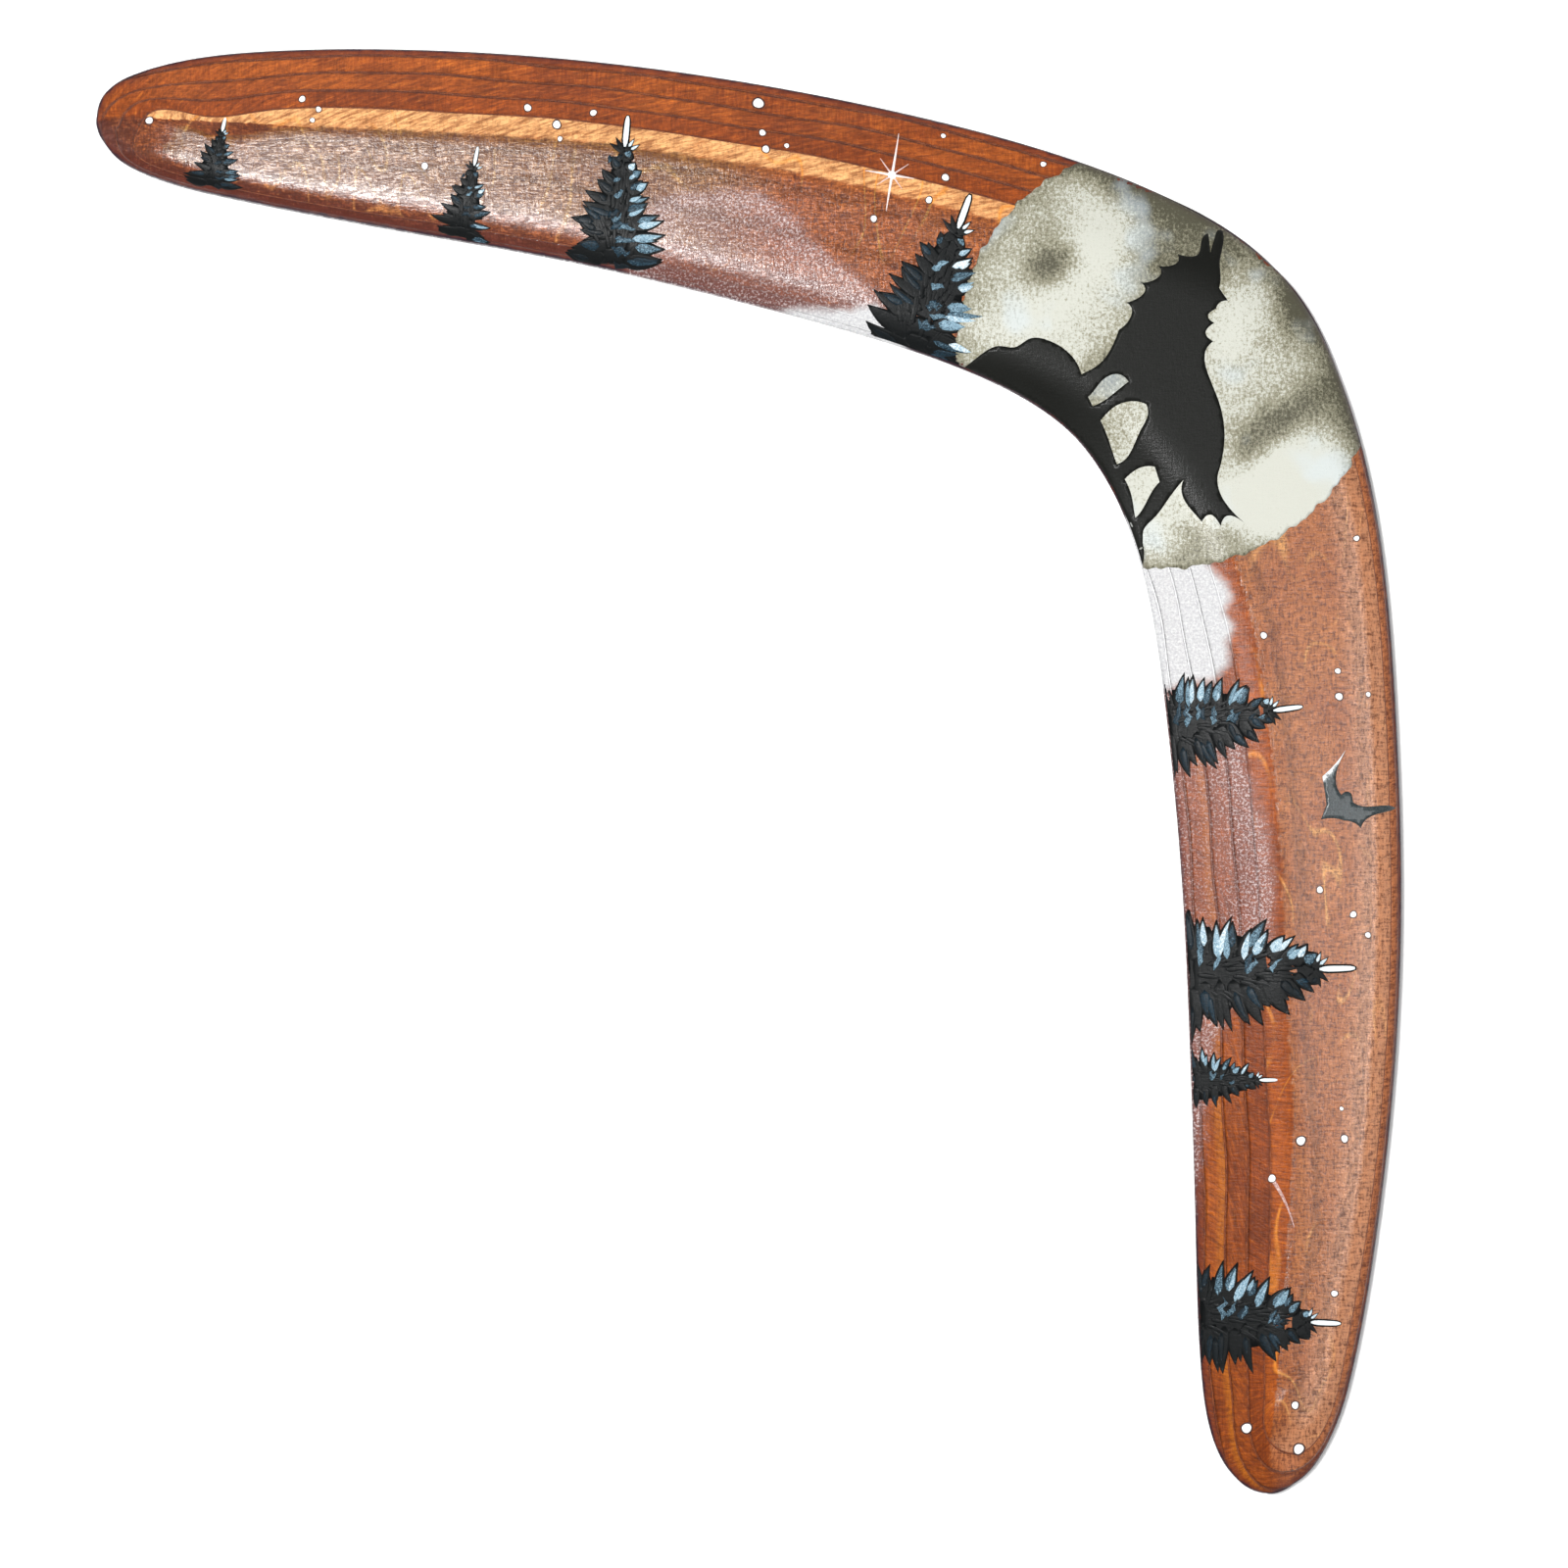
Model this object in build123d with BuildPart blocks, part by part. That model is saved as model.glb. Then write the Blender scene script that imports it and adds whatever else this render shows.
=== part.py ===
"""Right-handed returning boomerang, cut from a five-veneer birch board and painted.

Frame: origin on the flat underside (z = 0), below the middle of the bounding box; +Z up, towards
the painted side. One arm points to -X, the other to -Y, and they meet at the elbow near +X, +Y.
Seen from above, the boomerang flies anticlockwise: the leading edge of the arm along -X is its
lower (-Y) side, and the leading edge of the arm along -Y is its outer (+X) side.
"""

from build123d import *
import math
import os

# ---- driving dimensions, in millimetres ----
thickness = 6.5
veneer_count = 5
glue_thickness = 0.1
veneer_thickness = (thickness - (veneer_count - 1) * glue_thickness) / veneer_count
paint_thickness = 0.08

# heights of the worked top at the very edge, and how far in each slope reaches
lowest_rim = 0.6
leading_rim = 3.3
trailing_rim = 0.7
tip_rim = 2.2
leading_reach_long_arm = 17.0
leading_reach_short_arm = 7.5
trailing_reach_long_arm = 23.0
trailing_reach_short_arm = 26.5
tip_reach = 24.0
tip_blend = 30.0
trailing_straight = 0.7
# how sharply a slope rounds over onto the flat: 2 is a parabola, more keeps the fall near the rim
leading_round_long_arm = 4.0
even_round = 2.0
elbow_blend = 80.0

# plan outline, from the tip of the -X arm round the elbow's outside to the tip of the -Y arm
left_tip = (-156.7, 156.5)
right_tip = (124.5, -173.5)
outer_points = [
    left_tip, (-154.4, 163.0), (-148.4, 167.0), (-137.4, 170.4), (-114.6, 173.0), (-86.0, 173.4),
    (-43.0, 171.0), (-1.0, 165.5), (41.5, 157.0), (75.0, 147.8), (104.0, 136.0), (129.0, 117.6),
    (143.2, 90.0), (151.0, 58.0), (155.0, 15.5), (156.4, -27.0), (155.0, -69.0), (150.5, -111.0),
    (145.0, -142.5), (138.7, -161.5), (132.0, -170.2), right_tip,
]
# and back along the crook to the first tip
inner_points = [
    right_tip, (117.2, -170.2), (111.6, -161.0), (108.6, -144.0), (107.3, -111.0), (106.0, -69.0),
    (104.0, -27.0), (100.0, 15.5), (95.6, 43.5), (88.4, 65.0), (77.4, 81.0), (60.3, 92.4),
    (27.5, 104.5), (-1.0, 112.3), (-43.0, 122.2), (-85.0, 129.8), (-124.0, 137.3), (-143.0, 142.4),
    (-153.8, 149.3), left_tip,
]

# middle of the flat part of the top; every slope rises from the rim towards the nearest spot on it
spine_points = [
    (-127.0, 148.0), (-86.0, 144.0), (-43.0, 139.0), (-1.0, 131.0), (41.5, 120.5), (75.0, 110.5),
    (104.0, 98.0), (124.0, 76.0), (133.5, 45.0), (137.0, 15.5), (139.7, -27.0), (140.0, -69.0),
    (138.0, -111.0), (131.5, -144.0),
]
spine_samples = 400

# heights at which the round of the top veneer's slope is followed, as shares of that veneer
top_round_shares = [0.25, 0.5, 0.7, 0.85, 0.95]


def mix(a, b, t):
    return a + (b - a) * t


def slope_at(x, y):
    """Rim height, reach, straight share and roundness of the slope that rises from one rim point."""
    # 0 on the arm along -X, 1 on the arm along -Y, easing over the elbow
    t = min(max((x - y) / (2 * elbow_blend) + 0.5, 0.0), 1.0)
    arm = t * t * (3 - 2 * t)
    tip_gap = min(math.dist((x, y), left_tip), math.dist((x, y), right_tip))
    tip = max(1 - tip_gap / tip_blend, 0.0) ** 2
    leading_reach = mix(leading_reach_long_arm, leading_reach_short_arm, arm)
    leading = (leading_rim, leading_reach, 0.0, mix(leading_round_long_arm, even_round, arm))
    trailing_reach = mix(trailing_reach_long_arm, trailing_reach_short_arm, arm)
    trailing = (trailing_rim, trailing_reach, trailing_straight, even_round)
    worn_tip = (tip_rim, tip_reach, 0.0, even_round)
    if (x, y) in outer_points:
        side = [mix(a, b, arm) for a, b in zip(trailing, leading)]
    else:
        side = [mix(a, b, arm) for a, b in zip(leading, trailing)]
    return [mix(a, b, tip) for a, b in zip(side, worn_tip)]


def inset_at(height, rim_height, reach, straight, power):
    """How far in from the rim a slope reaches a height: a straight ramp, then a round onto the flat."""
    rise = min(max((height - rim_height) / (thickness - rim_height), 0.0), 1.0)
    steepness = power / (1 + (power - 1) * straight)
    if rise < steepness * straight:
        return reach * rise / steepness
    left = (1 - rise) * (1 - straight) ** (power - 1) * (1 + (power - 1) * straight)
    return reach * (1 - left ** (1 / power))


def towards_spine(point, distance):
    """The spot that lies a distance in from a rim point, on its way to the nearest spot of the spine."""
    target = min(spine_spots, key=lambda spot: math.dist(point, spot))
    share = distance / math.dist(point, target)
    return (mix(point[0], target[0], share), mix(point[1], target[1], share))


def contour(height):
    """Plan points of the worked board's outline at one height, on the same rays at every height."""
    points = []
    for point in rim_points:
        rim_height, reach, straight, power = slope_at(*point)
        room = min(math.dist(point, spot) for spot in spine_spots)
        inset = inset_at(height, rim_height, min(reach, 0.96 * room), straight, power)
        points.append(towards_spine(point, inset))
    return points


def layer(levels):
    """The worked board between the first and the last of some heights."""
    with BuildPart() as slab:
        for height in levels:
            with BuildSketch(Plane.XY.offset(height)):
                with BuildLine():
                    Spline(*contour(height), periodic=True)
                make_face()
        loft(ruled=True)
    return slab.part


rim_points = outer_points[:-1] + inner_points[:-1]
spine = Spline(*spine_points)
spine_spots = [tuple(spine @ (k / spine_samples))[:2] for k in range(spine_samples + 1)]

# ---- painted motifs: places on the board, in plan ----
paint_margin = 0.3

moon_centre = (100.2, 99.5)
moon_radius = 51.0

# each pine: foot, tip of the leader, spread of the lowest boughs, number of tiers of boughs
pines = [
    ((-128.5, 140.0), (-125.3, 156.0), 12.5, 6),
    ((-69.0, 128.0), (-64.8, 149.0), 14.0, 6),
    ((-32.0, 121.5), (-29.0, 157.0), 23.0, 9),
    ((39.5, 100.5), (53.0, 138.0), 28.0, 9),
    ((100.3, 11.0), (132.4, 15.3), 24.0, 8),
    ((105.5, -48.3), (145.2, -47.2), 30.0, 9),
    ((106.9, -74.4), (126.2, -74.0), 14.0, 6),
    ((108.4, -130.6), (141.6, -132.2), 27.0, 9),
]

# star dots: plan place and radius
stars = [
    (-143.5, 155.5, 0.9), (-107.0, 160.8, 0.8), (-103.0, 158.2, 0.7), (-104.4, 155.5, 0.6),
    (-77.5, 144.5, 0.8), (-53.0, 158.7, 0.9), (-46.0, 154.5, 1.0), (-37.3, 157.5, 0.8),
    (-45.2, 151.0, 0.6), (2.2, 160.2, 1.3), (3.2, 152.8, 0.8), (4.0, 148.7, 0.9),
    (9.0, 149.6, 0.6), (47.0, 142.0, 0.9), (43.0, 136.4, 0.8), (29.8, 131.9, 0.8),
    (46.6, 152.4, 0.6), (70.6, 145.6, 0.7), (145.2, 55.5, 0.7), (123.0, 32.3, 0.8),
    (140.7, 23.8, 0.7), (141.0, 17.7, 0.9), (148.0, 18.2, 0.6), (136.4, -28.5, 0.8),
    (144.4, -34.4, 0.8), (147.9, -39.3, 0.7), (141.6, -80.8, 0.5), (131.9, -88.5, 1.1),
    (142.3, -88.0, 0.9), (139.9, -125.0, 0.8), (130.5, -151.7, 0.9), (119.2, -157.6, 1.2),
    (131.5, -162.3, 1.3),
]

burst_centre = (34.2, 142.5)
burst_heading = 80.0
burst_rays = [10.8, 5.2, 6.8, 4.6, 9.2, 4.4, 5.6, 5.0]
burst_core = 0.9

comet_head = (125.1, -97.6)
comet_tail = (130.3, -109.2)
comet_radius = 1.0

# a soaring bird, corner to corner
bird_stretches = [
    [(142.6, 5.0), (140.6, 2.2), (137.0, -1.4)],
    [(137.0, -1.4), (137.6, -5.0), (138.0, -8.2)],
    [(138.0, -8.2), (136.6, -11.8)],
    [(136.6, -11.8), (139.6, -11.4), (142.2, -12.0)],
    [(142.2, -12.0), (144.4, -12.4), (146.2, -13.8)],
    [(146.2, -13.8), (147.6, -11.6), (150.2, -10.4), (155.0, -9.0)],
    [(155.0, -9.0), (150.6, -8.4), (147.2, -8.6), (144.4, -7.6)],
    [(144.4, -7.6), (144.0, -5.6)],
    [(144.0, -5.6), (142.8, -5.0), (141.6, -5.8)],
    [(141.6, -5.8), (140.3, -3.2), (140.6, 0.4), (142.6, 5.0)],
]

# the ridge under the wolf, along the crook of the elbow, and back outside the wood
ridge_crest = [
    (50.0, 95.5), (55.0, 99.2), (60.0, 101.5), (63.5, 101.2), (67.0, 103.2), (71.5, 102.8),
    (75.5, 100.6), (78.8, 96.5), (80.4, 91.0), (83.8, 84.4), (86.2, 79.0), (88.4, 73.0),
    (91.4, 67.0), (92.8, 60.0), (94.6, 54.0), (94.2, 48.5),
]
ridge_back = [(80.0, 50.0), (50.0, 80.0)]

# a howling wolf in its own upright frame, facing -x, its fore paw at the origin; corner to corner
wolf_place = (81.0, 89.6, 0.0)
wolf_ground = (0.364, -0.932, 0.0)
wolf_stretches = [
    [(-9.0, 39.4), (-12.6, 38.6)],
    [(-12.6, 38.6), (-15.6, 40.2), (-18.4, 41.2), (-22.0, 43.6), (-25.2, 45.0)],
    [(-25.2, 45.0), (-25.9, 44.2), (-25.4, 43.2)],
    [(-25.4, 43.2), (-23.4, 41.6), (-21.4, 40.0)],
    [(-21.4, 40.0), (-23.8, 40.8), (-26.0, 41.4)],
    [(-26.0, 41.4), (-25.4, 39.6), (-22.0, 36.8), (-22.4, 34.6), (-24.0, 32.4)],
    [(-24.0, 32.4), (-22.0, 31.6), (-21.8, 29.6), (-22.8, 27.0)],
    [(-22.8, 27.0), (-20.8, 26.8), (-20.0, 24.6), (-20.6, 21.6)],
    [(-20.6, 21.6), (-18.4, 21.8), (-17.4, 19.8), (-17.4, 16.6)],
    [(-17.4, 16.6), (-15.2, 17.2), (-13.2, 15.6), (-12.0, 12.6)],
    [(-12.0, 12.6), (-9.0, 9.8), (-6.2, 5.6), (-5.4, 1.6), (-5.2, -1.5)],
    [(-5.2, -1.5), (0.4, -1.5)],
    [(0.4, -1.5), (-0.6, 1.8), (-2.2, 4.6), (-2.4, 8.0), (0.4, 10.2)],
    [(0.4, 10.2), (1.6, 6.4), (2.6, 2.4), (2.4, -1.5)],
    [(2.4, -1.5), (7.6, -1.5)],
    [(7.6, -1.5), (6.2, 1.4), (4.8, 4.8), (4.8, 8.4), (7.0, 12.2)],
    [(7.0, 12.2), (9.8, 11.4), (12.0, 9.0), (14.8, 6.2), (17.0, 3.6), (16.8, -1.5)],
    [(16.8, -1.5), (23.2, -1.5)],
    [(23.2, -1.5), (21.6, 1.4), (20.6, 4.4), (21.6, 8.8)],
    [(21.6, 8.8), (25.4, 8.6)],
    [(25.4, 8.6), (27.8, 5.0), (30.6, 1.6), (31.4, -2.5)],
    [(31.4, -2.5), (38.8, -3.0)],
    [(38.8, -3.0), (37.8, -0.4), (34.8, 1.0), (33.0, 4.2), (29.6, 9.6), (27.0, 14.0)],
    [(27.0, 14.0), (30.6, 12.4), (34.0, 13.0), (38.0, 14.4)],
    [(38.0, 14.4), (37.0, 16.4), (40.6, 18.2)],
    [(40.6, 18.2), (39.0, 19.8), (42.0, 23.8)],
    [(42.0, 23.8), (37.0, 21.6), (32.0, 21.0), (28.6, 22.2)],
    [(28.6, 22.2), (25.0, 24.8), (20.0, 27.2), (13.0, 28.6), (6.0, 28.6), (0.6, 29.8), (-1.2, 32.6)],
    [(-1.2, 32.6), (-3.6, 31.6), (-5.2, 34.4)],
    [(-5.2, 34.4), (-7.2, 33.6), (-8.2, 36.0)],
    [(-8.2, 36.0), (-9.2, 37.2), (-9.0, 39.4)],
]


def stretch(points):
    """One side of a silhouette: straight between two points, otherwise a smooth curve."""
    if len(points) == 2:
        return Line(*points)
    return Spline(*points)


def pine_outline(foot, tip, spread, tiers):
    """Corners of a pine's silhouette, up one side of the trunk and down the other."""
    height = math.dist(foot, tip)
    along = ((tip[0] - foot[0]) / height, (tip[1] - foot[1]) / height)
    side = []
    for k in range(tiers):
        bough = spread / 2 * (1 - k / tiers) ** 0.8
        side.append((height * 0.82 * k / tiers, bough))
        side.append((height * 0.82 * (k + 0.8) / tiers, bough * 0.5))
    side.append((height * 0.84, spread * 0.03))
    right = [(a, -b) for a, b in side]
    left = [(a, b) for a, b in reversed(side)]
    corners = right + [(height, 0.0)] + left
    return [
        (foot[0] + a * along[0] - b * along[1], foot[1] + a * along[1] + b * along[0])
        for a, b in corners
    ]


def burst_outline():
    """Corners of the starburst: thin rays of uneven length around a small core."""
    corners = []
    step = 360 / len(burst_rays)
    for k, ray in enumerate(burst_rays):
        for reach, turn in ((ray, k), (burst_core / 2, k + 0.5)):
            angle = math.radians(burst_heading + step * turn)
            x = burst_centre[0] + reach * math.cos(angle)
            y = burst_centre[1] + reach * math.sin(angle)
            corners.append((x, y))
    return corners


def lay_paint(motif, name):
    """A film of paint with the motif's outline, lying on the worked top and stopping short of the rim."""
    with BuildPart() as film:
        with BuildSketch():
            add(motif)
            add(paintable.sketch, mode=Mode.INTERSECT)
        extrude(amount=2 * thickness)
        add(board.moved(Location((0, 0, paint_thickness))), mode=Mode.INTERSECT, clean=False)
        add(board, mode=Mode.SUBTRACT, clean=False)
    film.part.label = name
    export_step(film.part, f"parts/{name}.step")


os.makedirs("parts", exist_ok=True)

# ---- five veneers, counted from the back, and the four glue films between them ----
top_round = [thickness - veneer_thickness * (1 - share) for share in top_round_shares]
all_levels = [0.0, lowest_rim]
for number in range(1, veneer_count + 1):
    low = (number - 1) * (veneer_thickness + glue_thickness)
    high = low + veneer_thickness
    levels = [low, high]
    if number == 1:
        levels = [low, lowest_rim, high]
    if number == veneer_count:
        levels = [low, *top_round, high]
    worked_slab = layer(levels)
    with BuildPart() as veneer:
        add(worked_slab)
    veneer.part.label = f"veneer_{number}"
    export_step(veneer.part, f"parts/veneer_{number}.step")
    if number < veneer_count:
        glue_film = layer([high, high + glue_thickness])
        with BuildPart() as glue_line:
            add(glue_film)
        glue_line.part.label = f"glue_line_{number}"
        export_step(glue_line.part, f"parts/glue_line_{number}.step")
        all_levels += [high, high + glue_thickness]

# the same board in one piece, only to shape the paint on it
board = layer(all_levels + top_round + [thickness])

# ---- paint ----
with BuildSketch() as paintable:
    with BuildLine():
        Spline(*[towards_spine(point, paint_margin) for point in rim_points], periodic=True)
    make_face()

pine_sketches = []
for foot, tip, spread, tiers in pines:
    with BuildSketch() as pine:
        with BuildLine():
            Polyline(*pine_outline(foot, tip, spread, tiers), close=True)
        make_face()
    pine_sketches.append(pine.sketch)

with BuildSketch(Plane(origin=wolf_place, x_dir=wolf_ground)) as wolf:
    with BuildLine():
        for points in wolf_stretches:
            stretch(points)
    make_face()

with BuildSketch() as silhouette:
    with BuildLine():
        Spline(*ridge_crest)
        Polyline(ridge_crest[-1], *ridge_back, ridge_crest[0])
    make_face()
    add(wolf.sketch)

with BuildSketch() as moon:
    with Locations(moon_centre):
        Circle(moon_radius)
    add(silhouette.sketch, mode=Mode.SUBTRACT)
    for pine in pine_sketches:
        add(pine, mode=Mode.SUBTRACT)

with BuildSketch() as bird:
    with BuildLine():
        for points in bird_stretches:
            stretch(points)
    make_face()

with BuildSketch() as star_dots:
    for x, y, radius in stars:
        with Locations((x, y)):
            Circle(radius)

with BuildSketch() as starburst:
    with BuildLine():
        Polyline(*burst_outline(), close=True)
    make_face()
    with Locations(burst_centre):
        Circle(burst_core)

with BuildSketch() as comet:
    with Locations(comet_head):
        Circle(comet_radius)
    with BuildLine():
        head = Vector(*comet_head)
        sideways = (Vector(*comet_tail) - head).rotate(Axis.Z, 90).normalized() * comet_radius * 0.8
        Polyline(head + sideways, comet_tail, head - sideways, close=True)
    make_face()

lay_paint(moon.sketch, "moon_paint")
lay_paint(silhouette.sketch, "wolf_and_ridge_paint")
for number, pine in enumerate(pine_sketches, start=1):
    lay_paint(pine, f"pine_paint_{number}")
lay_paint(bird.sketch, "bird_paint")
lay_paint(starburst.sketch, "starburst_paint")
lay_paint(comet.sketch, "comet_paint")
lay_paint(star_dots.sketch, "star_dots_paint")
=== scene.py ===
"""Painted plywood boomerang: smooth worked veneers, brushed paint and sprayed mist on the CAD frame."""

import bpy
import math
import random
import numpy as np
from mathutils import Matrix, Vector, bvhtree, geometry, kdtree


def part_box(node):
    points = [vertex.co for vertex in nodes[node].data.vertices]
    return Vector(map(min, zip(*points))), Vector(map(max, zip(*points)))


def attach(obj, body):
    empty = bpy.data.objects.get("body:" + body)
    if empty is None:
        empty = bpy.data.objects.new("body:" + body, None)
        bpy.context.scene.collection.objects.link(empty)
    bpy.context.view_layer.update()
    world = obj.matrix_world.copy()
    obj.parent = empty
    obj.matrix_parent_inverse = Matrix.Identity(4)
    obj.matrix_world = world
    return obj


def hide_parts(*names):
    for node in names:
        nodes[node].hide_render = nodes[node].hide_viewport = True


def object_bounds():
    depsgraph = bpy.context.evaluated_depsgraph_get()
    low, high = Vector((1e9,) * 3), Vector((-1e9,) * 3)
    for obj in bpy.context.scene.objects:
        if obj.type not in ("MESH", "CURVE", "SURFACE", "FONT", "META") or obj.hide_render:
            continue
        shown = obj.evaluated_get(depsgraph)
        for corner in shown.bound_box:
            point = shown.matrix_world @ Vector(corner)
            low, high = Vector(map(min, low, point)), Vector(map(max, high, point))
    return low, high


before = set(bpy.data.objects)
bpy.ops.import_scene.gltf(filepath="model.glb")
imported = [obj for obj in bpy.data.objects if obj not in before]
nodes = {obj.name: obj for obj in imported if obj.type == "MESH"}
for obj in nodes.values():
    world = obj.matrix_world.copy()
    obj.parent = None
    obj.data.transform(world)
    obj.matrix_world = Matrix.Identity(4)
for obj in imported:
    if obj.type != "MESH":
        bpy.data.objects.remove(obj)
cad_low, cad_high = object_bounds()
scene = bpy.context.scene
MM = 0.001

# ---- the worked board, in millimetres: the same rim, spine and slopes as the CAD veneers ----
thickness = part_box("veneer_5")[1].z / MM
veneer_count = 5
glue_thickness = (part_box("glue_line_1")[1].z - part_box("glue_line_1")[0].z) / MM
left_tip = (-156.7, 156.5)
right_tip = (124.5, -173.5)
outer_points = [
    left_tip, (-154.4, 163.0), (-148.4, 167.0), (-137.4, 170.4), (-114.6, 173.0), (-86.0, 173.4),
    (-43.0, 171.0), (-1.0, 165.5), (41.5, 157.0), (75.0, 147.8), (104.0, 136.0), (129.0, 117.6),
    (143.2, 90.0), (151.0, 58.0), (155.0, 15.5), (156.4, -27.0), (155.0, -69.0), (150.5, -111.0),
    (145.0, -142.5), (138.7, -161.5), (132.0, -170.2), right_tip,
]
inner_points = [
    right_tip, (117.2, -170.2), (111.6, -161.0), (108.6, -144.0), (107.3, -111.0), (106.0, -69.0),
    (104.0, -27.0), (100.0, 15.5), (95.6, 43.5), (88.4, 65.0), (77.4, 81.0), (60.3, 92.4),
    (27.5, 104.5), (-1.0, 112.3), (-43.0, 122.2), (-85.0, 129.8), (-124.0, 137.3), (-143.0, 142.4),
    (-153.8, 149.3), left_tip,
]
spine_points = [
    (-127.0, 148.0), (-86.0, 144.0), (-43.0, 139.0), (-1.0, 131.0), (41.5, 120.5), (75.0, 110.5),
    (104.0, 98.0), (124.0, 76.0), (133.5, 45.0), (137.0, 15.5), (139.7, -27.0), (140.0, -69.0),
    (138.0, -111.0), (131.5, -144.0),
]
elbow_blend = 80.0
tip_blend = 30.0
slope_foot = 0.6  # just under the lowest rim
cap_grid = 2.5
rim_knots = np.array(outer_points[:-1] + inner_points[:-1])
outer_count = len(outer_points) - 1


def smooth(t):
    t = np.clip(t, 0.0, 1.0)
    return t * t * (3 - 2 * t)


def lengths(rows):
    return np.linalg.norm(rows, axis=1)


def spans(points):
    """Chord length of each span of a loop, which is how the CAD's curves are timed."""
    return lengths(np.roll(points, -1, axis=0) - points)


def loop_through(points, counts):
    """A closed smooth curve through some points, with a given number of samples in each span."""
    n = len(points)
    h = spans(points)
    rows = np.zeros((n, n))
    right = np.zeros((n, 2))
    for k in range(n):
        before, after = h[k - 1], h[k]
        rows[k, k - 1] += after
        rows[k, k] += 2 * (before + after)
        rows[k, (k + 1) % n] += before
        gain = (points[(k + 1) % n] - points[k]) / after * before
        right[k] = 3 * (gain + (points[k] - points[k - 1]) / before * after)
    slopes = np.linalg.solve(rows, right)
    made = []
    for k in range(n):
        t = (np.arange(counts[k]) / counts[k])[:, None]
        ahead = (k + 1) % n
        made.append(
            (2 * t**3 - 3 * t**2 + 1) * points[k] + (t**3 - 2 * t**2 + t) * h[k] * slopes[k]
            + (3 * t**2 - 2 * t**3) * points[ahead] + (t**3 - t**2) * h[k] * slopes[ahead]
        )
    return np.concatenate(made)


def line_through(points, per_span):
    """An open smooth curve through some points."""
    points = np.array(points)
    padded = np.vstack([2 * points[0] - points[1], points, 2 * points[-1] - points[-2]])
    made = []
    for k in range(1, len(padded) - 2):
        a, b, c, d = padded[k - 1: k + 3]
        for t in np.arange(per_span) / per_span:
            made.append(0.5 * (2 * b + (c - a) * t + (2 * a - 5 * b + 4 * c - d) * t * t
                               + (3 * b - a - 3 * c + d) * t**3))
    return np.array(made + [points[-1]])


def blend_over_elbow(x, y):
    """0 on the arm along -X, 1 on the arm along -Y, easing over the elbow."""
    return smooth((x - y) / (2 * elbow_blend) + 0.5)


def leading_share(x, y, outer):
    """1 on a leading edge, 0 on a trailing edge, easing over the elbow."""
    arm = blend_over_elbow(x, y)
    return np.where(outer, arm, 1 - arm)


counts = np.maximum(5, np.round(spans(rim_knots) / 1.1)).astype(int)
spine = line_through(spine_points, 30)
on_outer = np.arange(len(rim_knots)) < outer_count
knot_arm = blend_over_elbow(rim_knots[:, 0], rim_knots[:, 1])
knot_leading = leading_share(rim_knots[:, 0], rim_knots[:, 1], on_outer)
tip_gap = np.minimum(lengths(rim_knots - left_tip), lengths(rim_knots - right_tip))
knot_tip = np.maximum(1 - tip_gap / tip_blend, 0) ** 2
spine_gap = np.linalg.norm(rim_knots[:, None] - spine[None], axis=2)
knot_target = spine[spine_gap.argmin(1)]
knot_room = spine_gap.min(1)


def shaped(leading, trailing, tip):
    side = trailing + (leading - trailing) * knot_leading
    return side + (tip - side) * knot_tip


# heights of the rim, reach of each slope, its straight share and how sharply it rounds over
leading_reach = 17.0 - 9.5 * knot_arm
trailing_reach = 23.0 + 3.5 * knot_arm
leading_power = 4.0 - 2.0 * knot_arm
knot_rim_height = shaped(3.3, 0.7, 2.2)
knot_reach = np.minimum(shaped(leading_reach, trailing_reach, 24.0), 0.96 * knot_room)
knot_straight = shaped(0.0, 0.7, 0.0)
knot_power = shaped(leading_power, 2.0, 2.0)

rim = loop_through(rim_knots, counts)
rim_lead = np.interp(np.arange(len(rim)), np.cumsum(counts) - counts, knot_leading)
rim_is_outer = np.arange(len(rim)) < counts[:outer_count].sum()
steps = spans(rim)
outer_run = np.concatenate([[0], np.cumsum(steps)])[: len(rim)]
outer_length = steps[rim_is_outer].sum()
inner_length = steps[~rim_is_outer].sum()
inner_run = (outer_length + inner_length - outer_run) * outer_length / inner_length
rim_along = np.where(rim_is_outer, outer_run, inner_run)


def hand_work(share, leading):
    """Small wander of the sanded slope, in millimetres of plan: none at the rim or on the flat."""
    s = rim_along
    wave = np.sin(s / 23 + 1.3) + 0.7 * np.sin(s / 9.1 + 4 * share) + 0.5 * np.sin(s / 5.3 + 2.1 + 7 * share)
    return 0.33 * wave * np.sin(np.pi * share) * (1 - 0.8 * leading)


def contour(height):
    """Plan outline of the worked board at one height."""
    rise = np.clip((height - knot_rim_height) / (thickness - knot_rim_height), 0, 1)
    held = 1 + (knot_power - 1) * knot_straight
    steepness = knot_power / held
    ramp = knot_reach * rise / steepness
    left = (1 - rise) * (1 - knot_straight) ** (knot_power - 1) * held
    round_over = knot_reach * (1 - left ** (1 / knot_power))
    inset = np.where(rise < steepness * knot_straight, ramp, round_over)
    knots = rim_knots + (knot_target - rim_knots) * (inset / knot_room)[:, None]
    made = loop_through(knots, counts)
    share = np.interp(np.arange(len(rim)), np.cumsum(counts) - counts, np.sqrt(rise))
    inward = made - rim
    length = np.maximum(lengths(inward), 1e-6)
    return made + inward / length[:, None] * (hand_work(share, rim_lead) * (length > 0.5))[:, None]


def plan_tree(points):
    """Search tree over some plan points."""
    tree = kdtree.KDTree(len(points))
    for k, spot in enumerate(points):
        tree.insert((*spot, 0), k)
    tree.balance()
    return tree


rim_tree = plan_tree(rim)


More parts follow.
